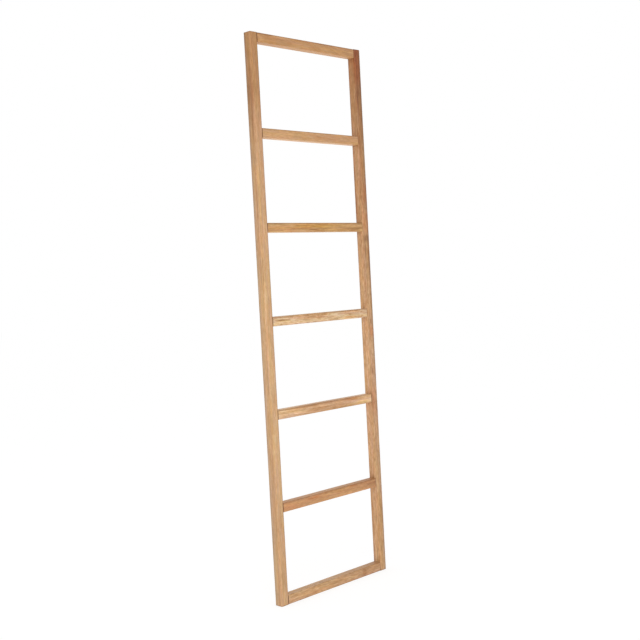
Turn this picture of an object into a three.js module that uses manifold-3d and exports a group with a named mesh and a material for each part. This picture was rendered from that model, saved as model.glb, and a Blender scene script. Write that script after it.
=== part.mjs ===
// A leaning ladder frame in solid oak, for hanging blankets, towels or clothes.
//
// Two long uprights are joined by a top rail, a row of rungs and a bottom rail. Every crossbar
// butts against the uprights' inner faces, and two fluted dowels in blind bores hold each joint.
//
// Millimetres. +Z runs up the uprights, +X to the right seen from the front and +Y towards the
// wall. The origin is the middle of the footprint, on the floor.

import * as THREE from 'three';
import { mergeVertices } from 'three/addons/utils/BufferGeometryUtils.js';
import Module from 'manifold-3d';

// Driving dimensions of the frame
const frameHeight = 1800;
const frameWidth = 500;
const frameDepth = 30;         // front face to back face of an upright
const stileWidth = 30;         // an upright seen from the front
const crossbarHeight = 30;     // a rail or rung seen from the front
const crossbarSetback = 0.5;   // from an upright's face to a crossbar's, front and back
const rungCount = 5;           // between the top rail and the bottom rail, with equal windows
const edgeRadius = 3;          // round-over along the long edges
const endEase = 1;             // easing round the uprights' sawn ends

// Driving dimensions of the dowel joints
const dowelDiameter = 8;
const dowelLength = 30;        // half in the upright, half in the crossbar
const dowelChamfer = 1;
const dowelFlutes = 10;
const fluteDepth = 0.35;
const boreClearance = 0.2;     // dowel to bore wall, filled with glue
const boreEndClearance = 0.8;  // dowel's end to the bore's floor

// How finely round forms are divided
const cornerSteps = 4;
const endEaseSteps = 2;
const boreSides = 16;

// Sizes that follow
const crossbarLength = frameWidth - 2 * stileWidth;
const crossbarDepth = frameDepth - 2 * crossbarSetback;
const crossbarPitch = (frameHeight - crossbarHeight) / (rungCount + 1);
const innerFaceX = crossbarLength / 2;
const stileCentreX = innerFaceX + stileWidth / 2;
const boreRadius = dowelDiameter / 2 + boreClearance;
const boreDepth = dowelLength / 2 + boreEndClearance;

// Colours and finish
const stileTones = { left: 0xbf966b, right: 0xb98d62 };
const crossbarTones = [0xc0946a, 0xbe8c5c, 0xbc8d60, 0xb8895c, 0xbd8a4e, 0xbc8f61, 0xbd9164];
const oakRoughness = 0.55;
const beechTone = 0xd9b48a;
const beechRoughness = 0.7;

const wasm = await Module();
wasm.setup();

// A closed geometry as a solid that can be cut
function solidOf(geometry) {
  const bare = geometry.clone();
  bare.deleteAttribute('normal');
  bare.deleteAttribute('uv');
  const merged = mergeVertices(bare);
  return new wasm.Manifold(new wasm.Mesh({
    numProp: 3,
    vertProperties: new Float32Array(merged.attributes.position.array),
    triVerts: new Uint32Array(merged.index.array),
  }));
}

// A cut solid as a geometry for a mesh
function geometryOf(solid) {
  const { vertProperties, triVerts } = solid.getMesh();
  const geometry = new THREE.BufferGeometry();
  geometry.setAttribute('position', new THREE.BufferAttribute(new Float32Array(vertProperties), 3));
  geometry.setIndex(new THREE.BufferAttribute(new Uint32Array(triVerts), 1));
  geometry.computeVertexNormals();
  return geometry;
}

// A strip's section, centred, with its four corners rounded over
function roundedSection(width, height, radius) {
  const right = width / 2;
  const top = height / 2;
  const section = new THREE.Shape();
  section.absarc(right - radius, top - radius, radius, 0, Math.PI / 2);
  section.absarc(radius - right, top - radius, radius, Math.PI / 2, Math.PI);
  section.absarc(radius - right, radius - top, radius, Math.PI, 1.5 * Math.PI);
  section.absarc(right - radius, radius - top, radius, 1.5 * Math.PI, 2 * Math.PI);
  return section;
}

// An upright standing on z = 0, its sawn ends eased all round
function stileBlank() {
  const blank = new THREE.ExtrudeGeometry(roundedSection(stileWidth, frameDepth, edgeRadius), {
    depth: frameHeight - 2 * endEase,
    curveSegments: cornerSteps,
    bevelThickness: endEase,
    bevelSize: endEase,
    bevelOffset: -endEase,
    bevelSegments: endEaseSteps,
  });
  return blank.translate(0, 0, endEase);
}

// A rail or rung along X, centred, with its ends sawn square
function crossbarBlank() {
  const blank = new THREE.ExtrudeGeometry(roundedSection(crossbarHeight, crossbarDepth, edgeRadius), {
    depth: crossbarLength,
    curveSegments: cornerSteps,
    bevelEnabled: false,
  });
  return blank.translate(0, 0, -crossbarLength / 2).rotateY(Math.PI / 2);
}

// A blind bore along X whose mouth is at x and which runs towards side (-1 left, 1 right). The
// drill starts outside the wood by its own radius.
function bore(x, z, side) {
  const overrun = boreRadius;
  const cutter = new THREE.CylinderGeometry(boreRadius, boreRadius, boreDepth + overrun, boreSides);
  cutter.rotateZ(Math.PI / 2).translate(x + side * (boreDepth - overrun) / 2, 0, z);
  return solidOf(cutter);
}

// A dowel along X, centred: turned with chamfered ends, then every second line pressed in
function dowelGeometry() {
  const radius = dowelDiameter / 2;
  const half = dowelLength / 2;
  const outline = [
    new THREE.Vector2(0, -half),
    new THREE.Vector2(radius - dowelChamfer, -half),
    new THREE.Vector2(radius, dowelChamfer - half),
    new THREE.Vector2(radius, half - dowelChamfer),
    new THREE.Vector2(radius - dowelChamfer, half),
    new THREE.Vector2(0, half),
  ];
  const geometry = new THREE.LatheGeometry(outline, 2 * dowelFlutes);
  const point = new THREE.Vector3();
  const places = geometry.attributes.position;
  for (let i = 0; i < places.count; i++) {
    point.fromBufferAttribute(places, i);
    const line = Math.round(Math.atan2(point.x, point.z) / (Math.PI / dowelFlutes));
    const reach = Math.hypot(point.x, point.z);
    if (line % 2 !== 0 && reach > fluteDepth) {
      const scale = (reach - fluteDepth) / reach;
      places.setXYZ(i, point.x * scale, point.y, point.z * scale);
    }
  }
  return geometryOf(solidOf(geometry.rotateZ(Math.PI / 2)));
}

function wood(color, roughness) {
  return new THREE.MeshStandardMaterial({ color, roughness, metalness: 0 });
}

function piece(name, geometry, material) {
  const mesh = new THREE.Mesh(geometry, material);
  mesh.name = name;
  return mesh;
}

// The crossbars from the bottom rail to the top rail, each with its centre's z
const crossbars = [];
for (let step = 0; step <= rungCount + 1; step++) {
  crossbars.push({
    name: step === 0 ? 'bottom_rail' : step > rungCount ? 'top_rail' : `rung_${step}`,
    tone: crossbarTones[step % crossbarTones.length],
    z: crossbarHeight / 2 + step * crossbarPitch,
  });
}

// Each dowel is centred in its half of the crossbar
const dowelRows = [
  { name: 'upper', z: crossbarHeight / 4 },
  { name: 'lower', z: -crossbarHeight / 4 },
];
const sides = [
  { name: 'left', sign: -1 },
  { name: 'right', sign: 1 },
];

const frame = new THREE.Group();

// Uprights, bored from their inner faces at every crossbar
for (const side of sides) {
  let stile = solidOf(stileBlank().translate(side.sign * stileCentreX, 0, 0));
  for (const crossbar of crossbars) {
    for (const row of dowelRows) {
      stile = stile.subtract(bore(side.sign * innerFaceX, crossbar.z + row.z, side.sign));
    }
  }
  frame.add(piece(`${side.name}_stile`, geometryOf(stile), wood(stileTones[side.name], oakRoughness)));
}

// One crossbar along X, centred, bored at both ends
let boredCrossbar = solidOf(crossbarBlank());
for (const side of sides) {
  for (const row of dowelRows) {
    boredCrossbar = boredCrossbar.subtract(bore(side.sign * innerFaceX, row.z, -side.sign));
  }
}

// Rails and rungs set at their heights, with their dowels
const crossbarShape = geometryOf(boredCrossbar);
const dowel = dowelGeometry();
for (const crossbar of crossbars) {
  const joint = new THREE.Group();
  joint.position.z = crossbar.z;
  joint.add(piece(crossbar.name, crossbarShape, wood(crossbar.tone, oakRoughness)));
  for (const side of sides) {
    for (const row of dowelRows) {
      const name = `${crossbar.name}_dowel_${side.name}_${row.name}`;
      const pin = piece(name, dowel, wood(beechTone, beechRoughness));
      pin.position.set(side.sign * innerFaceX, 0, row.z);
      joint.add(pin);
    }
  }
  frame.add(joint);
}

export default frame;
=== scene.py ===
"""A leaning ladder frame in oiled oak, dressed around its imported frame.

Every strip is remade as a fine mesh with sanded round-overs, bored for its dowels as the frame
says, and finished in a solid oak that is worked out from the place of the log's pith: growth
rings, pores, rays and end grain then agree on all faces. Lengths are in metres, and in
millimetres inside the shaders and where a name ends in _mm.
"""

import logging
import math
import random
from dataclasses import dataclass, field
from enum import Enum
from functools import reduce
from typing import Iterable, Optional, Sequence, Union

import bmesh
import bpy
from mathutils import Matrix, Vector


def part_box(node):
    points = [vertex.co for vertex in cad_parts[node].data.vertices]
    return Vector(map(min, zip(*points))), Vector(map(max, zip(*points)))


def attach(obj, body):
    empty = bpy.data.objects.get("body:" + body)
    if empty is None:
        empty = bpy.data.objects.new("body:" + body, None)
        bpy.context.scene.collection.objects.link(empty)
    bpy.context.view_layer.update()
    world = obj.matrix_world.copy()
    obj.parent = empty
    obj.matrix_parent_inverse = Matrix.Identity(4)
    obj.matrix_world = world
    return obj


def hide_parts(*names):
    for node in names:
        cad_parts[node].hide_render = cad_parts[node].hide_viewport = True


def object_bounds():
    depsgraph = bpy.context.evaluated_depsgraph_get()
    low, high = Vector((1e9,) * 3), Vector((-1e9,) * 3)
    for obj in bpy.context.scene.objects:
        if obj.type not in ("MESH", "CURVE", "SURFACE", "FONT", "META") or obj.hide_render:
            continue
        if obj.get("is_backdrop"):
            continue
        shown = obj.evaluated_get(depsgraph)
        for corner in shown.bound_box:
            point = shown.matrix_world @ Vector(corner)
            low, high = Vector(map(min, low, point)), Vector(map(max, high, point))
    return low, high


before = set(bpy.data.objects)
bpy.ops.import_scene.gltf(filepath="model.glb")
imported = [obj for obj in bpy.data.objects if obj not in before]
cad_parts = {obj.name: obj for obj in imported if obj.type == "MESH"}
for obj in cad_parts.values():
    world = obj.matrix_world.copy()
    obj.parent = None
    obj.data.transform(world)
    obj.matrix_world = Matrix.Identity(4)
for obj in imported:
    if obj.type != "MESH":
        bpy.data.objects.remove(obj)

MM = 0.001
ROOT_BODY = "root"
LONG_EDGES = 4

# A Mix node's own numbers for its share and its two colours, and for the colour it gives
MIX_COLOUR_INPUTS = (0, 6, 7)
MIX_COLOUR_OUTPUT = 2

Socket = bpy.types.NodeSocket
Value = Union[Socket, float, Sequence[float]]
Triple = tuple[float, float, float]
Colour = Triple
Place = tuple[Value, Value, Value]

log = logging.getLogger("ladder")


def linear(hex_code: str) -> Colour:
    """Turns a screen colour's six hexadecimal digits into linear numbers, by sRGB's curve."""
    shares = [int(hex_code[i:i + 2], 16) / 255 for i in (0, 2, 4)]
    return tuple(c / 12.92 if c <= 0.04045 else ((c + 0.055) / 1.055) ** 2.4 for c in shares)


def tinted(colour: Colour, tint: Colour) -> Colour:
    """Multiplies a colour by a tint, channel by channel."""
    return tuple(c * t for c, t in zip(colour, tint))


def as_mesh(shape: bmesh.types.BMesh, name: str) -> bpy.types.Mesh:
    """Turns a finished shape into a mesh and frees it.

    Args:
        shape: the shape.
        name: the mesh's name.

    Returns:
        The mesh.
    """
    mesh = bpy.data.meshes.new(name)
    shape.to_mesh(mesh)
    shape.free()
    return mesh


@dataclass(frozen=True)
class Stain:
    """A tint that multiplies the colour below, and how strongly it does where it is full."""

    tint: Colour
    share: float = 1.0


@dataclass(frozen=True)
class Figure:
    """A noise in the wood: the width and length of its features, and how fine they are.

    Where it has a cut, it rises from 0 at the cut's first number to 1 at its second.
    """

    wide_mm: float
    long_mm: float
    detail: float = 2.0
    rough: float = 0.5
    cut: Optional[tuple[float, float]] = None


class ShaderSheet:
    """A material's node tree, with one short call for each kind of node it needs."""

    def __init__(self, name: str) -> None:
        """Starts a material.

        Args:
            name: the material's name.
        """
        self.material = bpy.data.materials.new(name)
        self.material.use_nodes = True
        self.tree = self.material.node_tree
        self.shader = self.tree.nodes["Principled BSDF"]

    def node(self, kind: str, *values: Value, **settings: object) -> bpy.types.Node:
        """Adds a node and feeds its first inputs in order.

        Args:
            kind: the node's type, without the leading "ShaderNode".
            values: what its first inputs take.
            settings: what further inputs or the node's properties are set to, by name.

        Returns:
            The new node.
        """
        made = self.tree.nodes.new("ShaderNode" + kind)
        for key, value in settings.items():
            if key in made.inputs:
                self.feed(made.inputs[key], value)
            else:
                setattr(made, key, value)
        for socket, value in zip(made.inputs, values):
            self.feed(socket, value)
        return made

    def feed(self, socket: Socket, value: Value) -> None:
        """Links a socket to an input, or sets the input to a plain value.

        Args:
            socket: the input.
            value: the socket, number or numbers that it takes.
        """
        if isinstance(value, Socket):
            self.tree.links.new(value, socket)
        else:
            socket.default_value = value

    def math(self, operation: str, *values: Value) -> Socket:
        """Works out one sum, by the name that a Math node gives its operation."""
        return self.node("Math", *values, operation=operation).outputs[0]

    def times(self, *values: Value) -> Socket:
        """Multiplies numbers, from the first to the last."""
        return reduce(lambda a, b: self.math("MULTIPLY", a, b), values)

    def plus(self, *values: Value) -> Socket:
        """Adds numbers, from the first to the last."""
        return reduce(lambda a, b: self.math("ADD", a, b), values)

    def largest(self, *values: Value) -> Socket:
        """Gives the largest of several numbers."""
        return reduce(lambda a, b: self.math("MAXIMUM", a, b), values)

    def distance(self, value: Value, middle: float = 0.0) -> Socket:
        """Gives how far a number is from a middle one, either way."""
        off = self.math("SUBTRACT", value, middle) if middle else value
        return self.math("ABSOLUTE", off)

    def swing(self, value: Value, reach: float) -> Socket:
        """Turns a number from 0 to 1 into one around 0 that swings over the whole reach."""
        return self.times(self.math("SUBTRACT", value, 0.5), reach)

    def step(self, value: Value, start: float, end: float) -> Socket:
        """Goes smoothly from 0 at start to 1 at end, which may be the lower of the two."""
        sides = (start, end, 0.0, 1.0) if start < end else (end, start, 1.0, 0.0)
        return self.node("MapRange", value, *sides, interpolation_type="SMOOTHSTEP").outputs[0]

    def vector(self, *values: Value) -> Socket:
        """Joins three numbers into a vector."""
        return self.node("CombineXYZ", *values).outputs[0]

    def parts(self, vector: Socket) -> Place:
        """Splits a vector or a colour into its three numbers."""
        return tuple(self.node("SeparateXYZ", vector).outputs)

    def scaled(self, place: Place, rates: Sequence[float],
               shifts: Sequence[float] = (0.0, 0.0, 0.0)) -> Socket:
        """Multiplies a place's numbers by rates, adds shifts to them, and makes it a vector."""
        scaled = (self.times(here, rate) for here, rate in zip(place, rates))
        return self.vector(*(self.plus(here, shift) for here, shift in zip(scaled, shifts)))

    def place_mm(self) -> Place:
        """Gives the place in the piece's own axes, in millimetres."""
        at = self.node("TexCoord").outputs["Object"]
        return self.parts(self.node("VectorMath", at, operation="SCALE", Scale=1 / MM).outputs[0])

    def noise(self, vector: Value, detail: float = 2.0, rough: float = 0.5) -> bpy.types.Node:
        """Adds a noise of unit scale, with the number and the strength of its finer layers."""
        return self.node("TexNoise", vector, noise_dimensions="3D", Scale=1.0, Detail=detail,
                         Roughness=rough)

    def cells(self, vector: Value) -> Socket:
        """Gives the distance to the nearest of one scattered point for each unit of space."""
        made = self.node("TexVoronoi", vector, voronoi_dimensions="3D", feature="F1", Scale=1.0)
        return made.outputs["Distance"]

    def mix(self, share: Value, a: Value, b: Value, mode: str = "MIX") -> Socket:
        """Blends two colours.

        Args:
            share: how much of the second there is.
            a: the first colour, as three numbers or a socket.
            b: the second colour.
            mode: a Mix node's blend type.

        Returns:
            The blended colour.
        """
        made = self.node("Mix", data_type="RGBA", blend_type=mode)
        for index, value in zip(MIX_COLOUR_INPUTS, (share, a, b)):
            self.feed(made.inputs[index], (*value, 1.0) if isinstance(value, tuple) else value)
        return made.outputs[MIX_COLOUR_OUTPUT]

    def stained(self, colour: Value, where: Value, stain: Stain) -> Socket:
        """Lays a stain over a colour, as far as a number from 0 to 1 lets it."""
        return self.mix(self.times(where, stain.share), colour, stain.tint, "MULTIPLY")

    def relief(self, height_mm: Value) -> None:
        """Raises the shader's surface by a height in millimetres."""
        made = self.node("Bump", Strength=1.0, Distance=MM, Height=height_mm)
        self.feed(self.shader.inputs["Normal"], made.outputs["Normal"])


class Sawing(Enum):
    """How a strip was sawn from the log: the way from its middle to the pith, across and deep."""

    PLAIN = (0.15, 1.0)
    RIFT = (0.75, 0.65)


@dataclass(frozen=True)
class Streak:
    """A stripe or patch of other wood inside a strip: heartwood, a flame of grain, a pin knot.

    Its place and half widths are given across and deep, in the strip's own axes, and its span
    runs from the strip's lower or left end.
    """

    at_mm: tuple[float, float]
    half_mm: tuple[float, float]
    span_mm: tuple[float, float]
    tint: Colour
    strength: float = 1.0


@dataclass(frozen=True)
class OakFinish:
    """Oiled oak, sanded smooth, for one strip. Its grain runs along the strip's own Z."""

    tone: str
    seed: int
    sawing: Sawing = Sawing.RIFT
    pith_mm: float = 85.0
    side: float = 1.0
    ring_mm: float = 2.6
    along: tuple[tuple[float, str], ...] = ((0.0, "ffffff"), (1.0, "ffffff"))
    contrast: float = 1.0
    mottle: float = 0.2
    fleck: float = 0.5
    streaks: tuple[Streak, ...] = ()

    # How the pith wanders and slopes along the log
    wander_mm: float = 20.0
    wander_along_mm: float = 330.0
    quiver_mm: float = 2.2
    slope: tuple[float, float] = (0.008, 0.012)

    # Rings, pores and rays
    ring_uneven: float = 2.4
    ring_uneven_mm: float = 8.0
    pore_across_mm: float = 0.5
    pore_along_mm: float = 9.0
    ray_across_mm: float = 0.8
    ray_deep_mm: float = 22.0
    ray_along_mm: float = 13.0

    # Roughness, and what pores, fibres, rays, sanded edges and sawn ends add to it
    roughness: float = 0.5
    pore_roughness: float = 0.25
    fibre_roughness: float = 0.16
    ray_roughness: float = -0.10
    edge_roughness: float = -0.08
    end_roughness: float = 0.15
    oil_ior: float = 1.46

    # How far each stands up from the face
    pore_rise_mm: float = -0.10
    late_rise_mm: float = 0.012
    fibre_rise_mm: float = 0.03
    ray_rise_mm: float = 0.008

    def material(self, name: str, half: Vector, butted: bool) -> bpy.types.Material:
        """Builds the finish for a strip of a size, butted against others or with free ends."""
        return OakSheet(name, self, half).dressed(butted)


# How far a strip's seed moves each of its noises, so that no two strips match
GRAIN_SHIFTS = (17.3, 5.9, 11.7)
WANDER_SHIFT = 3.1
RING_SHIFT = 2.3
RAY_SHIFT = 7.7

# Figures of the grain
FIBRES = Figure(0.5, 28.0, 3.0, 0.6)
FLECKS = Figure(3.4, 18.0, cut=(0.36, 0.64))
PATCHES = Figure(5.0, 13.0, 3.0, 0.6, (0.50, 0.72))
NARROW_BANDS = Figure(3.4, 110.0, 3.0, 0.6, (0.32, 0.68))
HONEY_BANDS = Figure(6.0, 200.0, 3.0, 0.6, (0.36, 0.64))
FLUSH_BANDS = Figure(8.0, 42.0, 3.0, 0.6, (0.38, 0.62))
BROAD_BANDS = Figure(10.0, 260.0, 3.0, 0.6, (0.34, 0.66))
QUIVER = Figure(14.0, 110.0)
RIPPLE = Figure(30.0, 70.0)

# Tints of the wood's own kinds and of its rays on radial and on plain faces
ROSY_WOOD = (1.01, 0.965, 1.01)
HONEY_WOOD = (1.03, 1.035, 0.88)
COOL_FLUSH = (0.975, 1.005, 1.02)
WARM_FLUSH = (1.035, 0.99, 0.91)
MOTTLED = (0.74, 0.58, 0.42)
SILVER_RAY = (1.13, 1.14, 1.15)
DARK_RAY = (0.80, 0.74, 0.68)

# Stains of the rings, pores, ends and edges and beech flecks, and the joints' oil and painted shade
LATEWOOD = Stain((0.62, 0.50, 0.38))
EARLYWOOD = Stain((0.74, 0.64, 0.52), 0.45)
OPEN_PORE = Stain((0.42, 0.30, 0.20), 0.80)
SAWN_END = Stain((0.66, 0.58, 0.50), 0.8)
SANDED_EDGE = Stain((0.74, 0.66, 0.58), 0.25)
# Oil gathered in the joints, darkened further as painted shade of the crevice between strips
JOINT_OIL_AND_SHADE = Stain((0.28, 0.20, 0.13), 0.8)
SOAKED_END = Stain((0.66, 0.56, 0.46), 0.4)
BEECH_FLECK = Stain((0.68, 0.54, 0.42), 0.5)

# Where each thing begins, and where it is full, which may be the lower of the two
EARLY_CUT = (0.42, 0.06)
LATE_CUT = (0.35, 0.85)
YEAR_END_CUT = (1.0, 0.96)
LARGE_PORE_CUT = (0.34, 0.20)
SMALL_PORE_CUT = (0.24, 0.14)
RAY_CUT = (0.60, 0.70)
CROSSED_RAY_CUT = (0.45, 0.85)
SAWN_END_CUT = (0.5, 0.9)
BEECH_FLECK_CUT = (0.3, 0.15)

# The small pores' width, length and strength, as shares of the large ones'
SMALL_PORE_SHARES = (0.55, 0.6, 0.45)

# How many finer layers the broad noises have, and how strong those are
WANDER_LAYERS = (2.0, 0.45)
RING_LAYERS = (1.0, 0.5)
RAY_LAYERS = (1.0, 0.4)

# How strongly lighter and darker wood shows, as shares of its colour
FIBRE_LIGHT = 0.20
FLECK_LIGHT = 0.32
BROAD_LIGHT = 0.20
NARROW_LIGHT = 0.36
GROUND_LIFT = 0.05
LATE_SHADE = 0.16
YEAR_SHADE = 0.26
RAY_SHARE = 0.55
PORES_LOST_IN_FLECKS = 0.6
WARMTH = (0.75, 1.0, 1.5)

# How a streak frays and drifts, and how softly its rim and its ends fade
STREAK_FRAY = 1.6
STREAK_DRIFT_MM = 6.0
STREAK_RIM = (1.6, 0.4)
STREAK_FADE_MM = 30.0
STREAK_FADE_SHARE = 0.3

# How far from a strip's outside each finish of its edges and ends begins and is full
FACE_REACH_MM = 0.5
EDGE_REACH_MM = 2.2
JOINT_REACH_MM = 1.4
SOAKED_REACH_MM = 6.0


class OakSheet(ShaderSheet):
    """The node tree of one strip's oak, which follows from where the strip lay in its log."""

    def __init__(self, name: str, finish: OakFinish, half: Vector) -> None:
        """Starts the material and places the strip in its log.

        Args:
            name: the material's name.
            finish: the strip's finish.
            half: half the strip's size along its own X, Y and Z, in metres.
        """
        super().__init__(name)
        self.finish = finish
        self.half_mm = half / MM
        self.at = self.place_mm()
        self.in_log = self.placed_in_log()
        across, deep, _ = self.in_log
        squares = self.plus(self.times(across, across), self.times(deep, deep))
        self.radius = self.math("SQRT", squares)

    def dressed(self, butted: bool) -> bpy.types.Material:
        """Gives the shader the wood's colour, roughness and relief.

        Args:
            butted: whether the strip's ends butt against other strips.

        Returns:
            The material.
        """
        oak = self.finish
        early, late, year = self.rings()
        flecks = self.figured(FLECKS)
        fibres = self.figured(FIBRES)
        clear = self.plus(1.0, self.times(flecks, -PORES_LOST_IN_FLECKS))
        pores = self.times(self.pores(early), clear)
        rays = self.rays()
        edges = self.edges()
        facing = self.parts(self.node("TexCoord").outputs["Normal"])
        end_grain = self.step(self.distance(facing[2]), *SAWN_END_CUT)

        colour = self.ground_colour()
        drift = self.swing(self.figured(RIPPLE, self.at), STREAK_DRIFT_MM)
        x, y, z = self.at
        drifted = (self.plus(x, drift), self.plus(y, drift), z)
        for streak in oak.streaks:
            colour = self.streaked(colour, streak, drifted, fibres)
        colour = self.toned_along(colour)
        late_shade = self.plus(LATE_SHADE, self.times(year, YEAR_SHADE))
        colour = self.stained(colour, self.times(late, late_shade), LATEWOOD)
        colour = self.stained(colour, early, EARLYWOOD)
        fleck_light = self.swing(flecks, FLECK_LIGHT * oak.fleck)
        colour = self.lit(colour, self.plus(self.swing(fibres, FIBRE_LIGHT), fleck_light))
        colour = self.stained(colour, pores, OPEN_PORE)
        colour = self.mix(self.times(rays, RAY_SHARE), colour, self.ray_tint(facing), "MULTIPLY")
        colour = self.stained(colour, end_grain, SAWN_END)
        colour = self.stained(colour, edges, SANDED_EDGE)
        # Butted ends darken into the joint line, oil with painted crevice shade; free ends soak up
        # oil
        reach, stain = (JOINT_REACH_MM, JOINT_OIL_AND_SHADE) if butted else (SOAKED_REACH_MM, SOAKED_END)
        end = self.half_mm.z
        near_end = self.step(self.distance(z), end - reach, end - FACE_REACH_MM)
        self.feed(self.shader.inputs["Base Color"], self.stained(colour, near_end, stain))

        self.feed(self.shader.inputs["Roughness"], self.plus(
            oak.roughness, self.times(pores, oak.pore_roughness),
            self.swing(fibres, oak.fibre_roughness), self.times(rays, oak.ray_roughness),
            self.times(edges, oak.edge_roughness), self.times(end_grain, oak.end_roughness),
        ))
        self.shader.inputs["IOR"].default_value = oak.oil_ior
        self.relief(self.plus(
            self.times(pores, oak.pore_rise_mm), self.times(late, oak.late_rise_mm),
            self.times(fibres, oak.fibre_rise_mm), self.times(rays, oak.ray_rise_mm),
        ))
        return self.material

    def stretched(self, place: Place, wide_mm: float, long_mm: float) -> Socket:
        """Scales a place so that one unit is one feature, and moves it by the strip's seed."""
        rates = (1 / wide_mm, 1 / wide_mm, 1 / long_mm)
        return self.scaled(place, rates, [self.finish.seed * shift for shift in GRAIN_SHIFTS])

    def figure_noise(self, figure: Figure, place: Place) -> bpy.types.Node:
        """Adds the noise of a figure, read at a place."""
        where = self.stretched(place, figure.wide_mm, figure.long_mm)
        return self.noise(where, figure.detail, figure.rough)

    def figured(self, figure: Figure, place: Optional[Place] = None) -> Socket:
        """Gives the strength of a figure of the grain.

        Args:
            figure: the figure.
            place: where it is read, which is the place in the log if none is given.

        Returns:
            Its strength, from 0 to 1.
        """
        strength = self.figure_noise(figure, place or self.in_log).outputs["Fac"]
        return self.step(strength, *figure.cut) if figure.cut else strength

    def placed_in_log(self) -> Place:
        """Places the strip in its log, whose pith wanders and slopes along the grain.

        Returns:
            The distances from the pith, across and deep, and the place along the grain.
        """
        oak = self.finish
        x, y, z = self.at
        slow_at = self.vector(oak.seed * WANDER_SHIFT, 0.5, self.times(z, 1 / oak.wander_along_mm))
        slow = self.parts(self.noise(slow_at, *WANDER_LAYERS).outputs["Color"])
        quiver = self.parts(self.figure_noise(QUIVER, self.at).outputs["Color"])
        across, deep = oak.sawing.value
        found = []
        for here, way, slope, drift, ripple in zip(
            (x, y), (across * oak.side, deep), oak.slope, slow, quiver
        ):
            drifted = self.plus(here, self.swing(drift, oak.wander_mm))
            rippled = self.plus(self.swing(ripple, oak.quiver_mm), self.times(z, slope))
            found.append(self.plus(drifted, rippled, way * oak.pith_mm))
        return found[0], found[1], z

    def rings(self) -> tuple[Socket, Socket, Socket]:
        """Finds where in its year's ring a place lies.

        Returns:
            How much it is earlywood, how much it is latewood, and the year's own number.
        """
        oak = self.finish
        far_out = self.times(self.radius, 1 / oak.ring_uneven_mm)
        uneven_at = self.vector(far_out, oak.seed * RING_SHIFT, 0.0)
        uneven = self.noise(uneven_at, *RING_LAYERS).outputs["Fac"]
        uneven = self.times(uneven, oak.ring_uneven)
        phase = self.plus(self.times(self.radius, 1 / oak.ring_mm), uneven)
        share = self.math("FRACT", phase)
        year = self.node("TexWhiteNoise", noise_dimensions="1D", W=self.math("FLOOR", phase))
        early = self.step(share, *EARLY_CUT)
        late = self.times(self.step(share, *LATE_CUT), self.step(share, *YEAR_END_CUT))
        return early, late, year.outputs["Value"]

    def pores(self, early: Socket) -> Socket:
        """Gives the open pores: dots on the end grain, fine dashes along the faces.

        Args:
            early: how much the place is earlywood, where the large pores are.

        Returns:
            1 inside a pore and 0 in solid wood.
        """
        wide, long = self.finish.pore_across_mm, self.finish.pore_along_mm
        narrower, shorter, weaker = SMALL_PORE_SHARES
        across, deep, along = self.in_log
        large = self.cells(self.stretched((across, deep, along), wide, long))
        small = self.cells(self.stretched((deep, across, along), narrower * wide, shorter * long))
        open_large = self.times(self.step(large, *LARGE_PORE_CUT), early)
        open_small = self.times(self.step(small, *SMALL_PORE_CUT), weaker)
        return self.largest(open_large, open_small)

    def rays(self) -> Socket:
        """Gives the rays: sheets that stand radially, seen as flecks, dashes or spokes by face.

        Returns:
            1 inside a ray and 0 outside.
        """
        oak = self.finish
        across, deep, along = self.in_log
        arc = self.times(self.math("ARCTAN2", deep, across), oak.pith_mm)
        rates = (1 / oak.ray_across_mm, 1 / oak.ray_deep_mm, 1 / oak.ray_along_mm)
        where = self.scaled((arc, self.radius, along), rates, (oak.seed * RAY_SHIFT, 0.0, 0.0))
        return self.step(self.noise(where, *RAY_LAYERS).outputs["Fac"], *RAY_CUT)

    def ray_tint(self, facing: Place) -> Socket:
        """Gives the rays' tint, silver on a face that they lie in and dark on one they cross.

        Args:
            facing: the way that the surface faces.

        Returns:
            The tint.
        """
        across, deep, _ = self.in_log
        outward = self.plus(self.times(facing[0], across), self.times(facing[1], deep))
        outward = self.math("DIVIDE", outward, self.radius)
        crossed = self.step(self.distance(outward), *CROSSED_RAY_CUT)
        return self.mix(crossed, SILVER_RAY, DARK_RAY)

    def ground_colour(self) -> Socket:
        """Gives the wood's own colour: bands of honey and rosy wood, lighter and darker.

        Returns:
            The colour.
        """
        middle = linear(self.finish.tone)
        rosy, honey = tinted(middle, ROSY_WOOD), tinted(middle, HONEY_WOOD)
        ground = self.mix(self.figured(HONEY_BANDS), rosy, honey)
        flush = self.mix(self.figured(FLUSH_BANDS), COOL_FLUSH, WARM_FLUSH)
        ground = self.mix(1.0, ground, flush, "MULTIPLY")
        broad = self.swing(self.figured(BROAD_BANDS), BROAD_LIGHT)
        narrow = self.swing(self.figured(NARROW_BANDS), NARROW_LIGHT)
        level = self.times(self.plus(broad, narrow), self.finish.contrast)
        ground = self.lit(ground, self.plus(GROUND_LIFT, level))
        return self.stained(ground, self.figured(PATCHES), Stain(MOTTLED, self.finish.mottle))

    def lit(self, colour: Socket, change: Socket) -> Socket:
        """Lightens a colour by a share, or darkens and warms it where the share is below 0."""
        factors = [self.plus(1.0, self.times(change, share)) for share in WARMTH]
        return self.mix(1.0, colour, self.vector(*factors), "MULTIPLY")

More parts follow.
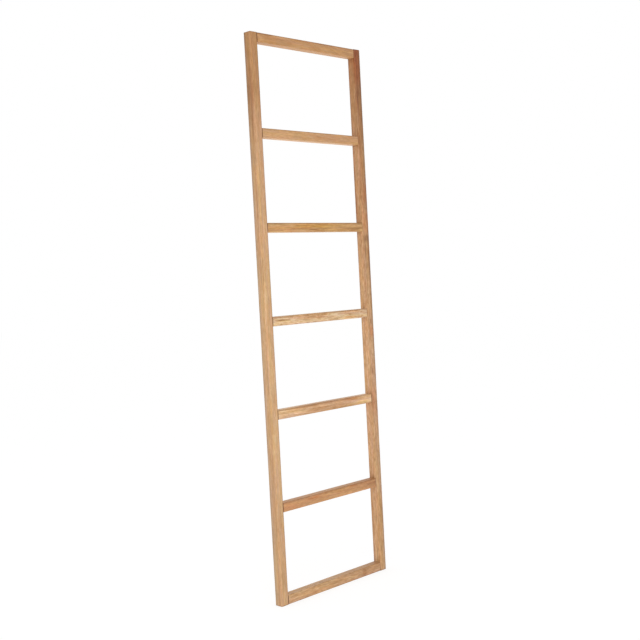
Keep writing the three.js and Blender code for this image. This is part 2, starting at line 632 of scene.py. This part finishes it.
    def streaked(self, colour: Socket, streak: Streak, at: Place, fibres: Socket) -> Socket:
        """Lays one stripe of other wood over a colour.

        Args:
            colour: the colour below.
            streak: the stripe.
            at: the place across, deep and along, drifted so that the stripe isn't ruled.
            fibres: the fine grain, which frays the stripe.

        Returns:
            The colour with the stripe.
        """
        reach = [
            self.math("POWER", self.times(self.distance(here, middle), 1 / half), 2.0)
            for here, middle, half in zip(at, streak.at_mm, streak.half_mm)
        ]
        frayed = self.plus(self.plus(*reach), self.swing(fibres, STREAK_FRAY))
        inside = self.times(self.step(frayed, *STREAK_RIM), streak.strength)
        start, end = (along - self.half_mm.z for along in streak.span_mm)
        fade = min(STREAK_FADE_MM, STREAK_FADE_SHARE * (end - start))
        begun = self.step(at[2], start - fade, start + fade)
        ended = self.step(at[2], end + fade, end - fade)
        share = self.times(inside, self.times(begun, ended))
        return self.mix(share, colour, streak.tint, "MULTIPLY")

    def toned_along(self, colour: Socket) -> Socket:
        """Multiplies a colour by the strip's slow change of tone along its length.

        Args:
            colour: the colour before.

        Returns:
            The colour after.
        """
        share = self.plus(self.times(self.at[2], 0.5 / self.half_mm.z), 0.5)
        made = self.node("ValToRGB", share)
        made.color_ramp.interpolation = "EASE"
        stops = made.color_ramp.elements
        while len(stops) < len(self.finish.along):
            stops.new(0.5)
        for stop, (place, hex_code) in zip(stops, self.finish.along):
            stop.position = place
            stop.color = (*linear(hex_code), 1.0)
        return self.mix(1.0, colour, made.outputs["Color"], "MULTIPLY")

    def edges(self) -> Socket:
        """Finds the sanded edges, which take more oil than the faces.

        Returns:
            1 on an edge and 0 on a face.
        """
        x, y, z = (
            self.step(self.distance(here), reach - EDGE_REACH_MM, reach - FACE_REACH_MM)
            for here, reach in zip(self.at, self.half_mm)
        )
        return self.largest(self.times(x, y), self.times(x, z), self.times(y, z))


@dataclass(frozen=True)
class BeechFinish:
    """Raw beech for the dowels: pale, even, with short fine flecks along the grain."""

    tone: str = "d9b48a"
    roughness: float = 0.7
    fleck_roughness: float = 0.1
    fleck_rise_mm: float = -0.03
    band_tint: Colour = (0.88, 0.84, 0.8)
    band_rates: Triple = (1 / 40, 0.9, 0.9)
    fleck_rates: Triple = (0.5, 2.4, 2.4)

    def material(self, name: str) -> bpy.types.Material:
        """Builds the finish.

        Args:
            name: the material's name.

        Returns:
            The material.
        """
        sheet = ShaderSheet(name)
        at = sheet.place_mm()
        middle = linear(self.tone)
        bands = sheet.noise(sheet.scaled(at, self.band_rates)).outputs["Fac"]
        fleck = sheet.step(sheet.cells(sheet.scaled(at, self.fleck_rates)), *BEECH_FLECK_CUT)
        colour = sheet.mix(bands, tinted(middle, self.band_tint), middle)
        sheet.feed(sheet.shader.inputs["Base Color"], sheet.stained(colour, fleck, BEECH_FLECK))
        rough = sheet.plus(self.roughness, sheet.times(fleck, self.fleck_roughness))
        sheet.feed(sheet.shader.inputs["Roughness"], rough)
        sheet.relief(sheet.times(fleck, self.fleck_rise_mm))
        return sheet.material


@dataclass(frozen=True)
class Bore:
    """A blind bore along X, from its mouth to its floor."""

    mouth: Vector
    way: float
    radius: float
    depth: float
    sides: int = 24

    def cutter(self, into: bmesh.types.BMesh) -> None:
        """Adds the drill's cylinder to a mesh. It starts outside the wood by its own radius.

        Args:
            into: the mesh that gathers the cutters.
        """
        overrun = self.radius
        middle = self.mouth + Vector((self.way * (self.depth - overrun) / 2, 0, 0))
        turn = Matrix.Rotation(math.pi / 2, 4, "Y")
        bmesh.ops.create_cone(
            into, cap_ends=True, segments=self.sides, radius1=self.radius, radius2=self.radius,
            depth=self.depth + overrun, matrix=Matrix.Translation(middle) @ turn,
        )


@dataclass
class Strip:
    """A square oak strip between two corners of the frame, with rounded long edges."""

    node: str
    finish: OakFinish
    slot: str
    bores: list[Bore] = field(default_factory=list)
    butted: bool = False
    edge_radius: float = 3.0 * MM
    least_radius: float = 0.2 * MM
    end_ease: float = 0.3 * MM
    ease_steps: int = 3
    ring_spacing: float = 16 * MM
    corner_steps: int = 8
    side_steps: int = 4
    sanding: float = 0.1
    sanding_waves: int = 3
    sanding_rates: tuple[float, float] = (9, 30)
    crease_degrees: float = 35
    face_weight: int = 80

    def turn(self) -> Matrix:
        """The turn from the strip's own axes, grain along Z, to the frame's."""
        return Matrix.Identity(4)

    def build(self) -> bpy.types.Object:
        """Makes the strip, bores it, dresses it and sets it in place of its CAD node.

        Returns:
            The strip's object.
        """
        low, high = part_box(self.node)
        turn = self.turn()
        half = Vector(abs(c) for c in turn.inverted().to_3x3() @ ((high - low) / 2))
        mesh = self._lofted(half)
        piece = bpy.data.objects.new(f"oak_{self.node}", mesh)
        piece.matrix_world = Matrix.Translation((low + high) / 2) @ turn
        bpy.context.scene.collection.objects.link(piece)
        self._bored(piece)
        piece.data.materials.clear()
        piece.data.materials.append(self.finish.material(f"oak_{self.node}", half, self.butted))
        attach(piece, ROOT_BODY)
        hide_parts(self.node)
        return piece

    def _section(self, half: Vector, radii: Sequence[float],
                 inset: float) -> list[tuple[float, float]]:
        """Gives the outline of the strip's section.

        Args:
            half: half the strip's size.
            radii: the radius at each of the four corners.
            inset: how far the whole outline is drawn in.

        Returns:
            Points in turn round the outline.
        """
        wide, deep = half.x - inset, half.y - inset
        corners = [(wide, deep), (-wide, deep), (-wide, -deep), (wide, -deep)]
        arcs = []
        for index, (x, y) in enumerate(corners):
            radius = max(radii[index] - inset, self.least_radius)
            x, y = x - math.copysign(radius, x), y - math.copysign(radius, y)
            arcs.append([])
            for step in range(self.corner_steps + 1):
                angle = math.pi / 2 * (index + step / self.corner_steps)
                arcs[-1].append((x + radius * math.cos(angle), y + radius * math.sin(angle)))
        points = []
        for arc, after in zip(arcs, arcs[1:] + arcs[:1]):
            points += arc
            for step in range(1, self.side_steps):
                points.append(tuple(
                    last + (first - last) * step / self.side_steps
                    for last, first in zip(arc[-1], after[0])
                ))
        return points

    def _levels(self, half: Vector) -> list[tuple[float, float]]:
        """Gives each section's height along the strip and how far it is drawn in there.

        Args:
            half: half the strip's size.

        Returns:
            Heights with their insets, from the lower end to the upper.
        """
        lower = []
        for step in range(self.ease_steps + 1):
            angle = math.pi / 2 * step / self.ease_steps
            up, inset = self.end_ease * (1 - math.cos(angle)), self.end_ease * (1 - math.sin(angle))
            lower.append((-half.z + up, inset))
        count = max(2, round(2 * half.z / self.ring_spacing))
        body = [(-half.z + 2 * half.z * i / count, 0.0) for i in range(1, count)]
        upper = [(-height, inset) for height, inset in reversed(lower)]
        return lower + body + upper

    def _lofted(self, half: Vector) -> bpy.types.Mesh:
        """Lofts the strip's sections. Hand sanding leaves each edge's radius slightly uneven.

        Args:
            half: half the strip's size.

        Returns:
            The mesh, in the strip's own axes.
        """
        dice = random.Random(self.finish.seed)
        waves = [
            [(dice.uniform(*self.sanding_rates), dice.uniform(0, math.tau))
             for _ in range(self.sanding_waves)]
            for _ in range(LONG_EDGES)
        ]
        shape = bmesh.new()
        loops = []
        for height, inset in self._levels(half):
            radii = []
            for corner in waves:
                wave = sum(math.sin(rate * height + phase) for rate, phase in corner) / len(corner)
                radii.append(self.edge_radius * (1 + self.sanding * wave))
            section = self._section(half, radii, inset)
            loops.append([shape.verts.new((x, y, height)) for x, y in section])
        for lower, upper in zip(loops, loops[1:]):
            for i in range(len(lower)):
                j = (i + 1) % len(lower)
                shape.faces.new((lower[i], lower[j], upper[j], upper[i]))
        shape.faces.new(list(reversed(loops[0])))
        shape.faces.new(loops[-1])
        return as_mesh(shape, self.node)

    def _bored(self, piece: bpy.types.Object) -> None:
        """Drills the dowel bores and settles the normals, with the result kept in the mesh.

        Args:
            piece: the strip's object, in place.
        """
        drills = bmesh.new()
        for bore in self.bores:
            bore.cutter(drills)
        drill_mesh = as_mesh(drills, f"{self.node}_drills")
        drill = bpy.data.objects.new(drill_mesh.name, drill_mesh)
        bpy.context.scene.collection.objects.link(drill)
        cut = piece.modifiers.new("bores", "BOOLEAN")
        cut.operation = "DIFFERENCE"
        cut.solver = "EXACT"
        cut.object = drill
        self._keep_result(piece)
        bpy.data.objects.remove(drill)
        bpy.data.meshes.remove(drill_mesh)
        piece.data.polygons.foreach_set("use_smooth", [True] * len(piece.data.polygons))
        piece.data.set_sharp_from_angle(angle=math.radians(self.crease_degrees))
        settle = piece.modifiers.new("normals", "WEIGHTED_NORMAL")
        settle.keep_sharp = True
        settle.weight = self.face_weight
        self._keep_result(piece)

    @staticmethod
    def _keep_result(piece: bpy.types.Object) -> None:
        """Replaces a piece's mesh by what its modifiers make of it, and clears them.

        Args:
            piece: the piece.
        """
        bpy.context.view_layer.update()
        graph = bpy.context.evaluated_depsgraph_get()
        made = bpy.data.meshes.new_from_object(piece.evaluated_get(graph))
        old = piece.data
        name = old.name
        piece.modifiers.clear()
        piece.data = made
        bpy.data.meshes.remove(old)
        made.name = name


@dataclass
class Stile(Strip):
    """An upright, whose sawn ends are eased all round."""

    end_ease: float = 1.0 * MM


@dataclass
class Crossbar(Strip):
    """A rail or a rung, whose square ends butt against the uprights."""

    butted: bool = True

    def turn(self) -> Matrix:
        """The grain runs along the frame's X, and the strip's own X points up."""
        return Matrix.Rotation(math.pi / 2, 4, "Y") @ Matrix.Rotation(math.pi, 4, "Z")


@dataclass
class LadderFrame:
    """The whole frame: two uprights, their rails and rungs, and the dowels inside the joints."""

    stile_finishes: dict[str, OakFinish]
    crossbar_finishes: dict[str, OakFinish]
    bore_clearance: float = 0.2 * MM
    bore_end_clearance: float = 0.8 * MM
    sides: tuple[str, str] = ("left", "right")
    rows: tuple[str, str] = ("upper", "lower")

    def build(self) -> Iterable[bpy.types.Object]:
        """Makes every strip and dresses every dowel.

        Returns:
            Each piece in turn.
        """
        for side, finish in self.stile_finishes.items():
            bores = [b for bar in self.crossbar_finishes for b in self._bores(bar, side, True)]
            yield Stile(f"{side}_stile", finish, "stile_oak", bores).build()
        for bar, finish in self.crossbar_finishes.items():
            bores = [b for side in self.sides for b in self._bores(bar, side, False)]
            yield Crossbar(bar, finish, "crossbar_oak", bores).build()
        beech = BeechFinish().material("beech_dowels")
        for bar in self.crossbar_finishes:
            for side in self.sides:
                for row in self.rows:
                    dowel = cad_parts[f"{bar}_dowel_{side}_{row}"]
                    dowel.data.materials.clear()
                    dowel.data.materials.append(beech)
                    yield dowel

    def _bores(self, bar: str, side: str, outward: bool) -> list[Bore]:
        """Works out the bores at one end of a crossbar from the dowels that lie there.

        Args:
            bar: the crossbar's node.
            side: left or right.
            outward: True for the upright's bores, False for the crossbar's own.

        Returns:
            The upper bore and the lower.
        """
        sign = -1.0 if side == "left" else 1.0
        low_bar, high_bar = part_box(bar)
        mouth_x = low_bar.x if side == "left" else high_bar.x
        found = []
        for row in self.rows:
            low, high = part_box(f"{bar}_dowel_{side}_{row}")
            centre = (low + high) / 2
            found.append(Bore(
                mouth=Vector((mouth_x, centre.y, centre.z)),
                way=sign if outward else -sign,
                radius=(high.z - low.z) / 2 + self.bore_clearance,
                depth=(high.x - low.x) / 2 + self.bore_end_clearance,
            ))
        return found


@dataclass(frozen=True)
class Lamp:
    """A square lamp of some watts that no camera sees, with its side, place and aim."""

    name: str
    power: float
    size: float
    place: Triple
    aim: Triple

    def hang(self) -> None:
        """Hangs the lamp in the scene."""
        data = bpy.data.lights.new(self.name, "AREA")
        data.shape = "SQUARE"
        data.size = self.size
        data.energy = self.power
        lamp = bpy.data.objects.new(self.name, data)
        lamp.location = self.place
        facing = Vector(self.aim) - Vector(self.place)
        lamp.rotation_euler = facing.to_track_quat("-Z", "Y").to_euler()
        lamp.visible_camera = False
        bpy.context.scene.collection.objects.link(lamp)


@dataclass
class Studio:
    """A white floor and white air, with a soft key at the front and a wide glow at the floor."""

    floor_size: float = 40.0
    floor_tone: float = 0.88
    floor_roughness: float = 0.9
    floor_gloss: float = 0.1
    floor_glow: float = 0.72
    floor_white: float = 1.12
    air_light: float = 0.77
    lamps: tuple[Lamp, ...] = (
        Lamp("key", power=38.0, size=3.0, place=(-3.3, -3.1, 3.2), aim=(0.0, 0.0, 0.9)),
        Lamp("floor_glow", power=50.0, size=6.0, place=(0.0, 0.0, 0.001), aim=(0.0, 0.0, 1.0)),
    )

    def build(self) -> None:
        """Makes the floor, the air and the lamps, and sets how colours are shown."""
        self._floor()
        self._air()
        for lamp in self.lamps:
            lamp.hang()
        bpy.context.scene.view_settings.view_transform = "Standard"

    @staticmethod
    def _blended(tree: bpy.types.NodeTree, white: Socket, under: Socket, output: str,
                 share: float = 1.0) -> None:
        """Shows a white in place of a shader where the camera looks, also in gloss and glass.

        Args:
            tree: the node tree.
            white: the shader that is shown there.
            under: the shader that lights the object and takes its shadow.
            output: the name of the tree's output node.
            share: how much of the white is shown.
        """
        nodes, links = tree.nodes, tree.links
        path = nodes.new("ShaderNodeLightPath")
        seen = path.outputs["Is Camera Ray"]
        for name in ("Is Glossy Ray", "Is Transmission Ray"):
            either = nodes.new("ShaderNodeMath")
            either.operation = "MAXIMUM"
            links.new(seen, either.inputs[0])
            links.new(path.outputs[name], either.inputs[1])
            seen = either.outputs[0]
        part = nodes.new("ShaderNodeMath")
        part.operation = "MULTIPLY"
        part.inputs[1].default_value = share
        both = nodes.new("ShaderNodeMixShader")
        links.new(seen, part.inputs[0])
        for socket, source in zip(both.inputs, (part.outputs[0], under, white)):
            links.new(source, socket)
        links.new(both.outputs[0], nodes[output].inputs["Surface"])

    def _floor(self) -> None:
        """Lays the floor. It is pale, keeps the object's shadow, and is seen a little lifted."""
        shape = bmesh.new()
        bmesh.ops.create_grid(shape, x_segments=1, y_segments=1, size=self.floor_size / 2)
        mesh = as_mesh(shape, "studio_floor")
        floor = bpy.data.objects.new("studio_floor", mesh)
        bpy.context.scene.collection.objects.link(floor)
        sheet = ShaderSheet("studio_floor")
        sheet.shader.inputs["Base Color"].default_value = (*(self.floor_tone,) * 3, 1.0)
        sheet.shader.inputs["Roughness"].default_value = self.floor_roughness
        sheet.shader.inputs["Specular IOR Level"].default_value = self.floor_gloss
        glow = sheet.node("Emission", Strength=self.floor_white)
        pale = sheet.shader.outputs[0]
        self._blended(sheet.tree, glow.outputs[0], pale, "Material Output", self.floor_glow)
        mesh.materials.append(sheet.material)
        floor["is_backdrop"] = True

    def _air(self) -> None:
        """Fills the world with even light, and shows it as plain white."""
        world = bpy.data.worlds.new("studio_air")
        bpy.context.scene.world = world
        world.use_nodes = True
        light = world.node_tree.nodes["Background"]
        white = world.node_tree.nodes.new("ShaderNodeBackground")
        for air, strength in ((light, self.air_light), (white, 1.0)):
            air.inputs["Color"].default_value = (1.0, 1.0, 1.0, 1.0)
            air.inputs["Strength"].default_value = strength
        self._blended(world.node_tree, white.outputs[0], light.outputs[0], "World Output")


@dataclass
class PhotoCamera:
    """The photograph's camera: at the front left, at the middle height, rolled a little.

    The frame leans back in the photograph and stands upright here, so the roll and the view
    down are the photograph's with that lean taken off.
    """

    place: Triple = (-2.3670, -2.3613, 1.0352)
    aim: Triple = (0.0033, 0.0, 0.8904)
    roll_degrees: float = 3.089
    lens_mm: float = 57.036
    sensor_mm: float = 36.0
    nearest: float = 0.05
    farthest: float = 100.0

    def build(self) -> None:
        """Makes the camera and hands it to the scene."""
        data = bpy.data.cameras.new("photo_camera")
        data.lens = self.lens_mm
        data.sensor_width = self.sensor_mm
        data.clip_start = self.nearest
        data.clip_end = self.farthest
        camera = bpy.data.objects.new("photo_camera", data)
        bpy.context.scene.collection.objects.link(camera)
        forward = (Vector(self.aim) - Vector(self.place)).normalized()
        level_right = forward.cross(Vector((0, 0, 1))).normalized()
        level_up = level_right.cross(forward)
        roll = math.radians(self.roll_degrees)
        up = level_up * math.cos(roll) + level_right * math.sin(roll)
        right = forward.cross(up)
        turn = Matrix((right, up, -forward)).transposed().to_4x4()
        camera.matrix_world = Matrix.Translation(self.place) @ turn
        bpy.context.scene.camera = camera


# Tints of other wood, and of painted shade and light, from dark to light
DEEP_BROWN = (0.60, 0.46, 0.32)
# Painted shade for the long round-over edges
EDGE_SHADE_TINT = (0.70, 0.60, 0.50)
OCHRE = (0.76, 0.66, 0.44)
BROWN = (0.78, 0.66, 0.52)
TAN_BROWN = (0.88, 0.67, 0.53)
RED_BROWN = (0.92, 0.64, 0.42)
DUSKY = (0.88, 0.865, 0.87)
# A greyish painted shade for a round-over in shadow
GREY_EDGE_SHADE = (0.84, 0.89, 0.99)
ASH = (0.88, 0.94, 1.06)
DULL = (0.94, 0.94, 0.95)
WARM = (0.94, 0.90, 0.80)
ORANGE = (1.06, 0.88, 0.78)
HONEY = (1.06, 1.04, 0.82)
ROSY = (1.08, 1.0, 1.02)
CREAM = (1.04, 1.09, 1.18)
# A painted highlight, pale and cool, for a lower edge
LOWER_EDGE_HIGHLIGHT = (1.03, 1.07, 1.30)
LIGHT = (1.09, 1.09, 1.08)
PALE = (1.12, 1.13, 1.14)
# Paler wood together with painted light, for a whole face that the lamps leave too dark
PALER_WOOD_AND_PAINTED_LIGHT = (1.13, 1.13, 1.14)

# A span that passes both ends of any strip
WHOLE = (-60, 1860)


def painted_edge_shade(x_mm: float, y_mm: float, strength: float = 0.9) -> Streak:
    """Painted shade along a long round-over edge, darker than the faces beside it."""
    return Streak((x_mm, y_mm), (4, 4), WHOLE, EDGE_SHADE_TINT, strength)


def front(up_mm: float, half_mm: float, span_mm: tuple[float, float], tint: Colour,
          strength: float = 1.0, deep_mm: float = 6.0) -> Streak:
    """A mark on a crossbar's front face, whose height is given from the face's middle line."""
    return Streak((up_mm, 15), (half_mm, deep_mm), span_mm, tint, strength)


LEFT_STILE = OakFinish(
    tone="cfa880", seed=3, side=-1.0, pith_mm=95, ring_mm=2.3, mottle=0.12, contrast=0.75,
    # Darker towards the ends, most at the top: partly the wood's own tone, partly painted shade
    along=((0, "f0eeea"), (0.4, "fcfcfc"), (0.8, "faf6f2"), (0.91, "e3d3c0"), (1, "e2d1b9")),
    streaks=(
        Streak((-15, -14), (7, 6), (840, 1860), LIGHT),
        Streak((-13, -15), (4, 4), (-60, 840), LIGHT),
        Streak((-15, 8), (6, 4), WHOLE, ASH, 0.8),
        Streak((-15, -3), (6, 4), WHOLE, BROWN, 0.28),
        Streak((-15, 15), (6, 12), WHOLE, DULL),
        Streak((-15, -4), (5, 3), (1120, 1330), BROWN, 0.5),
        Streak((-15, 3), (8, 18), (1390, 1640), DUSKY),
        Streak((-15, -5), (5, 3), (1470, 1570), BROWN, 0.8),
        Streak((-15, 4), (5, 4), (1580, 1680), BROWN, 0.5),
        Streak((-15, 11), (6, 5), (1700, 1860), BROWN, 0.5),
        Streak((0, -15), (15, 8), (60, 280), WARM, 0.6),
        Streak((-15, 1), (5, 3), (620, 760), PALE, 0.8),
        Streak((-15, -10), (6, 4), (40, 470), BROWN, 0.4),
        Streak((-15, -9), (6, 5), (1575, 1690), BROWN, 0.7),
        Streak((-10, -15), (8, 6), (715, 1010), PALE, 0.9),
        Streak((-5, -15), (10, 6), (1520, 1620), PALE, 0.5),
        Streak((-15, -9), (3, 2), (400, 900), BROWN, 0.45),
        painted_edge_shade(-15, 15, 0.6),
        painted_edge_shade(15, -15, 1.0),
    ),
)
RIGHT_STILE = OakFinish(
    tone="c29972", seed=11, pith_mm=80, ring_mm=2.8, mottle=0.6, fleck=1.0,
    # Darker towards the ends, most at the top: partly the wood's own tone, partly painted shade
    along=((0, "f2f0ee"), (0.5, "ffffff"), (0.8, "eee6de"), (0.9, "dacab8"), (1, "dac2aa")),
    streaks=(
        # The inner face is lighter all along: partly paler wood, partly painted light
        Streak((-15, 2), (9, 18), (-50, 1850), PALER_WOOD_AND_PAINTED_LIGHT),
        Streak((-15, 2), (8, 18), (1380, 1860), CREAM),
        Streak((2, -15), (14, 8), (1380, 1560), WARM),
        Streak((0, -15), (14, 8), (135, 240), WARM),
        Streak((12, -15), (3, 6), (480, 860), BROWN, 0.7),
        Streak((11, -15), (3, 6), (900, 1350), BROWN, 0.5),
        Streak((4, -15), (10, 6), (1040, 1135), BROWN, 0.5),
        Streak((2, -15), (13, 6), (1147, 1167), DEEP_BROWN, 0.8),
        Streak((0, -15), (13, 6), (1174, 1248), ORANGE, 0.9),
        Streak((5, -15), (10, 6), (1275, 1350), RED_BROWN, 0.6),
        Streak((-4, -15), (8, 6), (555, 636), ORANGE, 0.8),
        Streak((8, -15), (5, 6), (440, 640), PALE),
        Streak((9, -15), (6, 6), (1480, 1600), BROWN, 0.8),
        Streak((9, -15), (5, 6), (1030, 1135), BROWN, 0.7),
        Streak((-15, 11), (6, 6), (1220, 1400), BROWN, 0.9),
        Streak((-15, 11), (6, 6), (140, 260), BROWN, 0.8),
        Streak((-15, -10), (6, 5), (1260, 1345), PALE),
        Streak((2, -15), (10, 6), (818, 852), ORANGE, 0.9),
        Streak((2, -15), (2.5, 3), (862, 880), DEEP_BROWN, 0.8),
        Streak((-6, -15), (2.5, 3), (686, 706), DEEP_BROWN, 0.8),
        Streak((2, -15), (11, 6), (1560, 1860), BROWN, 0.5),
        Streak((-12, -15), (5, 6), (1474, 1516), BROWN),
        Streak((-14, -15), (2.5, 4), (588, 622), DEEP_BROWN),
        Streak((-6, -15), (8, 6), (1160, 1215), PALE, 0.7),
        Streak((-5, -15), (10, 8), (30, 270), HONEY, 0.6),
        Streak((-7, -15), (9, 6), (1250, 1470), RED_BROWN, 0.25),
        Streak((-15, -7), (6, 8), (335, 420), PALE),
        # Painted shade on the front face beside the outer round-over, all along
        Streak((8, -15), (4, 6), WHOLE, GREY_EDGE_SHADE, 0.8),
        Streak((-9, -15), (6, 6), (1600, 1700), BROWN, 0.8),
        Streak((-9, -15), (7, 6), (-60, 60), PALE),
        Streak((-11, -15), (5, 5), (1762, 1860), DEEP_BROWN, 0.8),
        Streak((-4, -15), (14, 9), (1690, 1860), RED_BROWN),
        painted_edge_shade(-15, 15, 0.6),
        painted_edge_shade(15, -15),
    ),
)
BOTTOM_RAIL = OakFinish(
    tone="c49d74", seed=21, sawing=Sawing.PLAIN, pith_mm=70, ring_mm=3.0, mottle=0.35,
    contrast=0.85, fleck=0.9, along=((0, "fbf9f8"), (0.5, "f8f6f4"), (1, "eee6e0")),
    streaks=(
        front(2, 14, (350, 368), BROWN, 0.8),
        front(8, 2, (118, 160), HONEY, deep_mm=5),
        front(-4, 3, (90, 190), ORANGE, 0.6, deep_mm=5),
        painted_edge_shade(-15, 15, 0.6),
    ),
)
RUNG_1 = OakFinish(
    tone="c49466", seed=22, pith_mm=90, ring_mm=2.4, mottle=0.35, contrast=0.6, fleck=0.7,
    along=((0, "faf8f4"), (0.5, "f8f4f0"), (1, "ece4da")),
    streaks=(
        front(-2, 8, (10, 60), ORANGE, 0.7),
        front(6, 4, (100, 165), RED_BROWN, 0.7),
        front(3, 3, (395, 450), DEEP_BROWN, 0.6),
        front(-11, 3.5, (110, 460), PALE),
        front(10, 4, (310, 345), RED_BROWN, 0.6),
        painted_edge_shade(15, 15, 0.5),
    ),
)
RUNG_2 = OakFinish(
    tone="d8b28b", seed=23, sawing=Sawing.PLAIN, pith_mm=60, fleck=0.6,
    along=((0, "ffffff"), (0.4, "eee4da"), (0.75, "ece2d8"), (1, "ffffff")),
    streaks=(
        front(-4, 3, (140, 235), BROWN, 0.7),
        front(12, 4, (85, 180), BROWN, 0.6),
        front(10, 4, (305, 375), RED_BROWN, 0.6),
        front(-7, 5, (225, 325), BROWN, 0.35),
        front(-6, 5, (370, 420), HONEY),
        front(2, 13, (-30, 95), PALE, deep_mm=8),
        # Painted highlight on the lower edge at the left end
        front(-10, 6, (-30, 85), LOWER_EDGE_HIGHLIGHT),
        painted_edge_shade(15, 15, 0.7),
        painted_edge_shade(-15, 15, 0.5),
    ),
)
RUNG_3 = OakFinish(
    tone="d8b894", seed=24, sawing=Sawing.PLAIN, pith_mm=80, ring_mm=3.2, mottle=0.7,
    fleck=0.9, contrast=0.8,
    streaks=(
        front(7, 8, (130, 245), TAN_BROWN, 0.7, deep_mm=8),
        front(10, 1.6, (132, 162), DEEP_BROWN, 0.7),
        front(5, 1.5, (146, 186), BROWN),
        front(9, 1.6, (176, 208), DEEP_BROWN, 0.6),
        front(2, 1.5, (194, 232), BROWN, 0.9),
        front(8, 1.6, (214, 246), BROWN),
        front(2, 2.2, (14, 68), DEEP_BROWN),
        front(8, 5, (70, 130), TAN_BROWN, 0.6),
        front(11, 2, (5, 90), BROWN, 0.8),
        front(-2, 3, (12, 80), HONEY),
        front(-9, 5, (-30, 470), PALE),
        front(10, 3, (325, 400), RED_BROWN, 0.5),
        front(-7, 2, (325, 375), RED_BROWN, 0.8),
        painted_edge_shade(15, 15, 0.8),
        painted_edge_shade(-15, 15, 0.4),
    ),
)
RUNG_4 = OakFinish(
    tone="c8a16e", seed=25, sawing=Sawing.PLAIN, pith_mm=45, ring_mm=3.4, mottle=0.15,
    contrast=1.1, fleck=0.6, along=((0, "ffffff"), (0.4, "f8ece0"), (1, "f4ece2")),
    streaks=(
        front(6, 7, (120, 280), HONEY, deep_mm=8),
        front(-6, 12, (-30, 115), ROSY, deep_mm=8),
        front(9, 5, (-30, 60), BROWN, 0.4),
        front(-9, 5, (-30, 60), PALE, 0.6),
        front(7, 5, (120, 190), BROWN, 0.5),
        front(7, 5, (275, 400), PALE),
        front(3, 2.8, (190, 240), OCHRE),
        front(-2, 2, (105, 190), BROWN),
        front(-8, 2, (180, 225), DEEP_BROWN, 0.9),
        front(-10, 1.7, (378, 420), DEEP_BROWN),
        front(-5, 1.7, (345, 440), BROWN),
        front(-9, 2, (290, 345), BROWN, 0.6),
        painted_edge_shade(15, 15, 0.7),
    ),
)
RUNG_5 = OakFinish(
    tone="d3a87c", seed=26, ring_mm=2.5, mottle=0.12, contrast=0.5,
    along=((0, "fbfaf9"), (0.6, "f8f4f0"), (1, "f6f1ec")),
    streaks=(
        front(-1, 2, (235, 340), BROWN, 0.9),
        front(7, 1.8, (300, 460), BROWN, 0.6),
        painted_edge_shade(15, 15),
    ),
)
TOP_RAIL = OakFinish(
    tone="c29365", seed=27, sawing=Sawing.PLAIN, pith_mm=75, ring_mm=2.8, mottle=0.12,
    contrast=0.5, fleck=0.4,
    streaks=(
        front(11, 2, (30, 64), BROWN, 0.8),
        front(-8, 6, (-30, 60), HONEY, 0.7),
        painted_edge_shade(15, 15),
    ),
)
STILES = {"left": LEFT_STILE, "right": RIGHT_STILE}
CROSSBARS = {
    "bottom_rail": BOTTOM_RAIL,
    "rung_1": RUNG_1,
    "rung_2": RUNG_2,
    "rung_3": RUNG_3,
    "rung_4": RUNG_4,
    "rung_5": RUNG_5,
    "top_rail": TOP_RAIL,
}


def corners(low: Vector, high: Vector) -> list[list[float]]:
    """Gives a box's two corners as plain lists of numbers."""
    return [list(low), list(high)]


def main() -> None:
    """Builds the camera, the frame and the studio."""
    logging.basicConfig(level=logging.INFO, format="%(name)s: %(message)s")
    cad_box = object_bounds()
    PhotoCamera().build()
    for piece in LadderFrame(STILES, CROSSBARS).build():
        log.info("%s: %d faces", piece.name, len(piece.data.polygons))
    Studio().build()
    {"cad": corners(*cad_box), "visual": corners(*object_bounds())}


if __name__ == "__main__":
    main()
